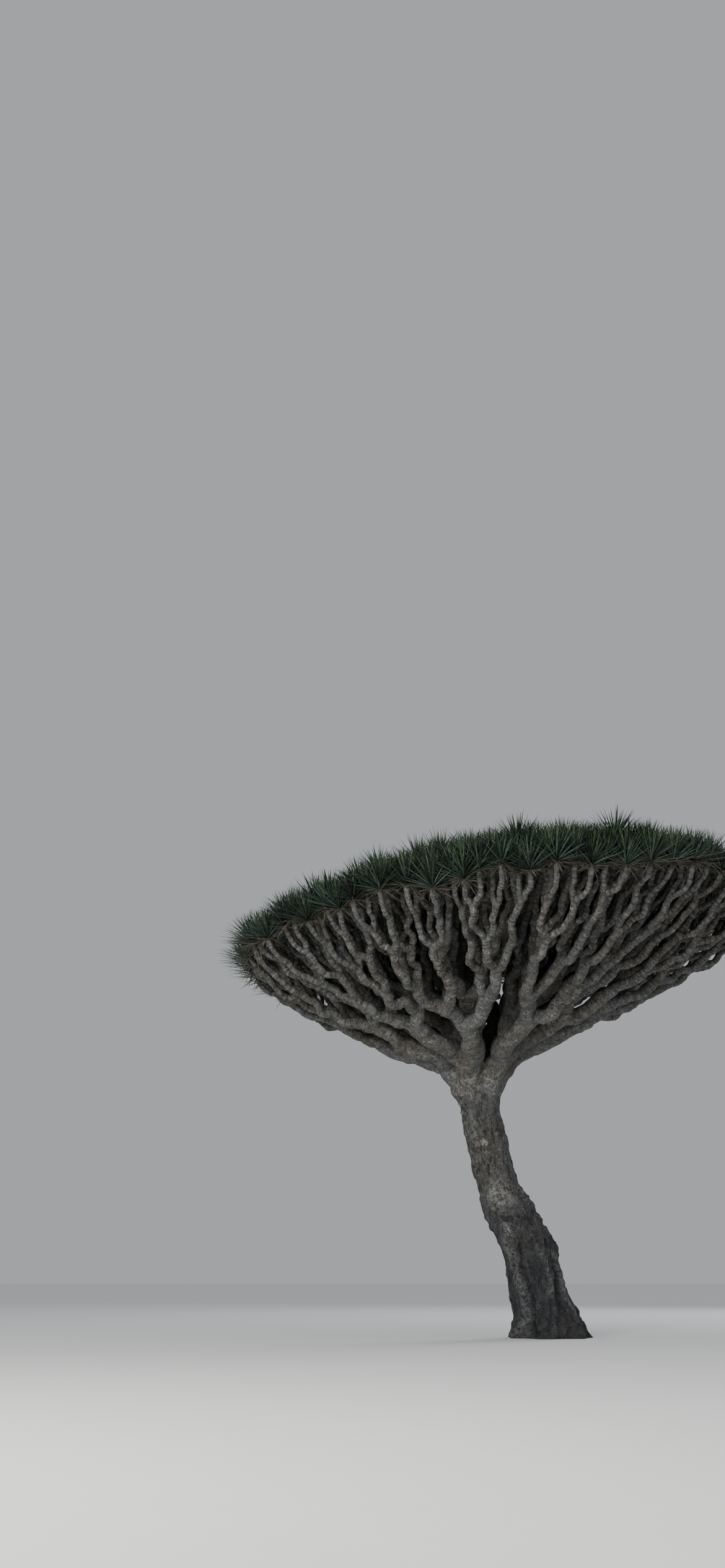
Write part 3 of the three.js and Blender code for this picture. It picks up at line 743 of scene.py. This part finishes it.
def bark(name):
    """Rough grey bark: ring scars on the limbs, and lichen, darkening towards the bottom and folds on the
    trunk.
    """
    finish = Finish(name, Roughness=0.92, Specular_IOR_Level=0.2)
    place = finish.place()
    height = finish.add("ShaderNodeSeparateXYZ", {}, {0: place})["Z"]
    above = finish.step(height, 2.5, 3.3)
    broad = finish.noise(place, 1.9, 3, 0.6)
    mottle = finish.noise(place, 15, 5, 0.66, 0.4)
    grain = finish.noise(finish.stretch(place, 1, 1, 0.4), 42, 4, 0.6)
    pits = finish.step(finish.cells(place, 27), 0.3, 0.08)
    cracks = finish.noise(finish.stretch(place, 1, 1, 0.4), 9, 3, 0.55, 1.2)
    cracks = finish.step(cracks, 0.45, 0.37) * (1 - above)
    blotches = finish.step(finish.noise(place, 9, 4, 0.7, 0.8), 0.54, 0.66)
    flecks = finish.step(finish.noise(place, 21, 3, 0.6, 0.5), 0.59, 0.68)
    tint = finish.blend(finish.step(broad, 0.4, 0.66), BARK_GREY, BARK_WARM)
    tint = finish.blend(0.75 * finish.step(mottle, 0.45, 0.7), tint, BARK_PALE)
    tint = finish.blend(0.6 * finish.step(grain, 0.5, 0.34), tint, BARK_DARK)
    tint = finish.blend(0.6 * cracks, tint, BARK_DARK)
    tint = finish.blend(0.5 * pits, tint, BARK_DARK)
    tint = finish.blend(0.45 * flecks, tint, LICHEN)
    specks = finish.step(finish.cells(place, 19), 0.2, 0.12)
    tint = finish.blend(0.36 * specks, tint, LICHEN)
    tint = finish.blend(0.45 * blotches * (1 - 0.5 * above), tint, LICHEN)
    relief = 0.8 * mottle + 0.5 * grain - 0.7 * pits - 0.8 * cracks + 0.3 * flecks
    return finish, place, height, tint, relief


finish, place, height, tint, relief = bark("trunk_bark")
speckle = finish.step(finish.noise(place, 26, 4, 0.7, 0.6), 0.4, 0.6)
# The trunk is darkened towards a dark bluish grey all over, and more so towards the bottom.
tint = finish.blend(0.34 + 0.44 * finish.step(height, 2.4, 0.5), tint, TRUNK_DARK_BLUE)
tint = finish.blend(0.66 * finish.value("shaded"), tint, FOLD_SHADE)
tint = finish.blend(0.6 * finish.value("lichened") * speckle, tint, LICHEN)
from_disc = finish.away(place, mark_point(LICHEN_DISC).tolist()) + 0.03 * speckle
tint = finish.blend(0.5 * finish.step(from_disc, 0.062, 0.04), tint, LICHEN)
finish.set(Base_Color=tint)
finish.bump(relief, 0.014)
trunk_bark = finish

finish, place, height, tint, relief = bark("bough_bark")
reach = finish.value("along") + 0.01 * finish.noise(place, 9, 2)
scars = finish.step(finish.bands(reach, 26, 2), 0.46, 0.36) * (0.25 + 0.75 * finish.step(height, 3.0, 4.0))
ringed = finish.value("ringed")
tint = finish.blend(0.35 * scars, tint, BARK_DARK)
tint = finish.blend(0.4 * ringed, tint, BARK_DARK)
tint = finish.blend(0.6 * finish.value("sheathed"), tint, LEAF_SHEATH)
tint = finish.blend(0.56 * finish.value("inner"), tint, INNER_SHADE)
finish.set(Base_Color=tint)
finish.bump(relief - 0.4 * scars, 0.014)
bough_bark = finish


def skin_piece(name, keep, finish):
    """The part of the wood's skin over some of its faces."""
    quads = skin_quads[keep]
    used, corners = np.unique(quads, return_inverse=True)
    piece = joined_mesh(name, [(skin_points[used], corners.reshape(-1, 4), np.empty((0, 3), int))])
    piece.data.materials.append(finish.material)
    return piece, used


def hold(piece, name, values):
    """Lets a mesh hold a value at each of its points."""
    piece.data.attributes.new(name, "FLOAT", "POINT").data.foreach_set("value", values.astype(np.float32))


def inwards(out):
    """How far inside the crown a limb lies, from 0 on its shell to 1 deep in it."""
    return np.clip((0.78 - out) / 0.42, 0, 1)


PARTING = 2.72  # height at which the trunk's skin ends and the boughs' begins
face_heights = skin_points[skin_quads][:, :, 2].mean(axis=1)
trunk, used = skin_piece("trunk_skin", face_heights < PARTING, trunk_bark)
hold(trunk, "shaded", shaded[used])
hold(trunk, "lichened", lichened[used])
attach(trunk, "root")
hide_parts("trunk")

boughs, used = skin_piece("bough_skin", face_heights >= PARTING, bough_bark)
nearby = [nearest.find(skin_points[i])[1] for i in used]
hold(boughs, "along", np.array(line_reach)[nearby])
hold(boughs, "inner", inwards(np.array(line_out)[nearby]))
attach(boughs, "root")
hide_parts(*[name for name in sorted(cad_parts) if name.startswith("bough_")])

# Twigs.
# From the ends of the third boughs the limbs go on forking, five times more, ever thinner, and
# turn up under the leaves. The same ringed, knobbly bark, joined by main bough into five pieces.

TWIG_GRIDS = {4: (18, 32), 5: (14, 34), 6: (10, 34), 7: (8, 28), 8: (7, 18)}
SHEATH_LENGTH = 0.10
for i, main in enumerate(main_boughs, 1):
    parts, along, sheathed, ringed, inner = [], [], [], [], []
    for branch in everything([main]):
        if branch.order <= BOUGH_ORDERS:
            continue
        sides, rows = TWIG_GRIDS[branch.order]
        centres, radii, spokes, necks = limb_rings(branch, sides, rows, inner_lead(branch))
        rings = centres[:, None] + radii[:, None, None] * spokes
        flat = rings.reshape(-1, 3)
        size = branch.end_radius
        lumps = 0.13 * value_noise(flat, 1.7 * size, 11) + 0.11 * value_noise(flat, 0.8 * size, 12)
        swell = (1 + lumps).reshape(rings.shape[:2])
        rings = centres[:, None] + (radii[:, None] * swell)[:, :, None] * spokes
        parts.append(tube(rings))
        steps = np.linalg.norm(np.diff(centres, axis=0), axis=1)
        reach = np.concatenate([[0], np.cumsum(steps)])
        ending = np.clip(1 - (reach[-1] - reach) / SHEATH_LENGTH, 0, 1) * (branch.order == ALL_ORDERS)
        depth = inwards(np.linspace(*branch.outs, len(reach)))
        reach = reach + branch.path + 0.618 * branch.number
        necks = necks * BULGE[branch.order] / max(BULGE)
        for held, by_ring in ((along, reach), (sheathed, ending), (ringed, necks), (inner, depth)):
            held.append(np.append(np.repeat(by_ring, sides), (by_ring[0], by_ring[-1])))
    twigs = joined_mesh(f"twigs_{i}", parts)
    hold(twigs, "along", np.concatenate(along))
    hold(twigs, "sheathed", np.concatenate(sheathed))
    hold(twigs, "ringed", np.concatenate(ringed))
    hold(twigs, "inner", np.concatenate(inner))
    twigs.data.materials.append(bough_bark.material)
    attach(twigs, "root")
    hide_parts(*[name for name in sorted(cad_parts) if name.startswith(f"foliage_{i}")])

# Leaves.
# Every last twig bears a rosette of stiff sword leaves, 0.35 to 0.45 m long, which fan out from
# its end and upwards. They are thick and leathery, folded along the middle, dark green, paler
# where they are young. The oldest are short, dry and brown, and hang under the rosette.

LEAVES_EACH = 90
DRY_EACH = 17
LEAF_LENGTH = 0.415
LEAF_WIDTH = 0.018
LOWEST_SINE = -0.06
GOLDEN_TURN = 2.39996


def leaf_finish(name, dark, light):
    finish = Finish(name, Roughness=0.5, Specular_IOR_Level=0.4)
    streaks = finish.noise(finish.place(), 24, 2, 0.5)
    finish.set(Base_Color=finish.blend(finish.step(streaks, 0.35, 0.65), dark, light))
    return finish.material


LEAF_FINISHES = [
    leaf_finish("leaf_deep", colour(14, 24, 18), colour(25, 38, 28)),
    leaf_finish("leaf_green", colour(30, 48, 34), colour(46, 67, 48)),
    # A pale grey-green, brightened with painted highlight for the sky's reflection on the blades.
    leaf_finish("leaf_grey_and_highlight", colour(60, 76, 68), colour(86, 104, 94)),
    leaf_finish("leaf_young", colour(54, 77, 50), colour(82, 104, 71)),
    leaf_finish("leaf_dry", colour(60, 58, 48), colour(104, 100, 84)),
]

# A leaf's stations: share of the length, and half width as a share of the full width. Each has an
# edge point, a keel point and an edge point, and the faces number those, with the tip as 6.
LEAF_STATIONS = [(0, 0.42), (0.42, 0.5)]
LEAF_FACES = ((0, 1, 4), (0, 4, 3), (1, 2, 5), (1, 5, 4), (3, 4, 6), (4, 5, 6))
KEEL_DEPTH = 0.28  # share of the width by which the fold lies under the edges
LEAF_SAG = 0.05  # share of the length by which a level leaf's tip hangs
DRY_RISES = (-0.85, 0.3)
DRY_SHARES = (0.3, 0.8)

for i, main in enumerate(main_boughs, 1):
    tips = [branch for branch in everything([main]) if branch.order == ALL_ORDERS]
    rng = np.random.default_rng(SEED + i)
    points, faces, kinds = [], [], []
    for tip in tips:
        end = tip.curve[3]
        lean = 2 * math.pi * chance(tip.number, 22)
        axis = tip.end_heading * 0.55 + UP + Vector((math.cos(lean), math.sin(lean), 0)) * 0.16
        axis = np.array(axis.normalized())
        front = np.cross(axis, (0.31, 0.87, 0.38))
        front /= np.linalg.norm(front)
        side = np.cross(axis, front)
        size = 0.86 + 0.24 * chance(tip.number, 20) + 0.1 * tip.tall
        n = np.arange(LEAVES_EACH)
        share = (n + 0.5) / LEAVES_EACH
        dry = n < DRY_EACH
        turn = n * GOLDEN_TURN + rng.uniform(0, 6.28) + rng.normal(0, 0.08, LEAVES_EACH)
        sine = LOWEST_SINE + (1 - LOWEST_SINE) * share**0.9
        rise = np.arcsin(np.clip(sine + rng.normal(0, 0.06, LEAVES_EACH), 0, 0.995))
        rise = np.where(dry, rng.uniform(*DRY_RISES, LEAVES_EACH), rise)
        outward = front * np.cos(turn)[:, None] + side * np.sin(turn)[:, None]
        way = outward * np.cos(rise)[:, None] + axis * np.sin(rise)[:, None]
        length = LEAF_LENGTH * size * (0.86 + 0.2 * np.sin(math.pi * np.clip(share + 0.1, 0, 1)))
        length = length * rng.uniform(0.86, 1.02, LEAVES_EACH)
        length = np.where(dry, length * rng.uniform(*DRY_SHARES, LEAVES_EACH), length)
        width = LEAF_WIDTH * rng.uniform(0.85, 1.15, LEAVES_EACH)
        across = np.cross(way, axis)
        across /= np.linalg.norm(across, axis=1, keepdims=True) + 1e-9
        out = np.cross(across, way)
        foot = end + axis * (0.01 + 0.08 * share)[:, None] + outward * (0.035 * (1 - share))[:, None]
        sag = -LEAF_SAG * np.cos(rise) * length
        rows = []
        for at, half in LEAF_STATIONS:
            middle = foot + way * (length * at)[:, None] + axis * (0.4 * sag * at)[:, None]
            keel = middle - out * (KEEL_DEPTH * width)[:, None]
            edge = across * (half * width)[:, None]
            rows += [middle - edge, keel, middle + edge]
        rows.append(foot + way * length[:, None] + axis * sag[:, None])
        block = np.stack(rows, axis=1)
        base = sum(len(p) for p in points) + len(rows) * n[:, None]
        points.append(block.reshape(-1, 3))
        faces.append(np.concatenate([base + face for face in LEAF_FACES], axis=1).reshape(-1, 3))
        tone = chance(tip.number, 21)
        draw = rng.uniform(0, 1, LEAVES_EACH) + 0.5 * (tone - 0.5)
        # Kinds: 0 deep, 1 green, 2 grey with painted highlight, 3 young, 4 dry.
        kind = np.where(draw < 0.34, 0, np.where(draw < 0.74, 1, 2))
        kind[(share > 0.75) & (draw > 0.45)] = 3
        kind[dry | (share < 0.3) & (draw > 0.95)] = 4
        kinds.append(np.repeat(kind, len(LEAF_FACES)))
    points = np.vstack(points)
    leaves = joined_mesh(f"leaves_{i}", [(points, np.empty((0, 4), int), np.vstack(faces))])
    for material in LEAF_FINISHES:
        leaves.data.materials.append(material)
    leaves.data.polygons.foreach_set("material_index", np.concatenate(kinds).astype(np.int32))
    leaves.data.polygons.foreach_set("use_smooth", np.zeros(len(leaves.data.polygons), bool))
    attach(leaves, "root")
    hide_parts(*[name for name in sorted(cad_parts) if name.startswith(f"foliage_{i}")])

# Floor, light and camera.
# A plain pale floor, wide enough to meet the backdrop far behind the tree, and soft studio
# light: a pale surround, one large panel in front and to the left, and a weaker one behind.

FLOOR_RADIUS = 400
FLOOR_SIDES = 64
floor_finish = Finish("floor_paint", Roughness=0.9)
speckle = floor_finish.noise(floor_finish.place(), 3, 2)
floor_finish.set(Base_Color=floor_finish.blend(speckle, colour(240, 240, 238), colour(244, 244, 242)))
ring = np.linspace(0, 2 * math.pi, FLOOR_SIDES, endpoint=False)
rim = np.stack([FLOOR_RADIUS * np.cos(ring), FLOOR_RADIUS * np.sin(ring), 0 * ring], axis=1)
j = np.arange(FLOOR_SIDES)
floor = joined_mesh("floor", [(
    np.vstack([rim, [(0, 0, 0)]]), np.empty((0, 4), int),
    np.stack([j, (j + 1) % FLOOR_SIDES, np.full(FLOOR_SIDES, FLOOR_SIDES)], axis=1),
)])
floor.location.z = -0.001
floor.data.materials.append(floor_finish.material)

world = bpy.data.worlds.new("surround")
world.use_nodes = True
world.node_tree.nodes["Background"].inputs["Color"].default_value = colour(214, 217, 221)
world.node_tree.nodes["Background"].inputs["Strength"].default_value = 0.62
bpy.context.scene.world = world


def panel(name, place, target, size, power, tint):
    light = bpy.data.lights.new(name, "AREA")
    light.shape, light.size, light.energy, light.color = "DISK", size, power, tint
    lamp = bpy.data.objects.new(name, light)
    lamp.location = place
    lamp.rotation_euler = (Vector(target) - Vector(place)).to_track_quat("-Z", "Y").to_euler()
    bpy.context.scene.collection.objects.link(lamp)


panel("front_panel", (-7, -15, 6), (-0.5, 0, 3.5), 7, 1500, (1, 0.98, 0.95))
panel("back_panel", (9, 14, 13), (0, 0, 4.5), 9, 1100, (0.93, 0.96, 1))

SENSOR_SIZE = 36  # along the photo's longer side, its height
camera_data = bpy.data.cameras.new("camera")
camera_data.sensor_width = SENSOR_SIZE
camera_data.lens = SENSOR_SIZE * PHOTO_FOCAL / (2 * PHOTO_MIDDLE[1])
camera = bpy.data.objects.new("camera", camera_data)
camera.location = CAMERA_PLACE.tolist()
camera.rotation_euler = (math.radians(90) + CAMERA_TILT, 0, 0)
bpy.context.scene.collection.objects.link(camera)
bpy.context.scene.camera = camera
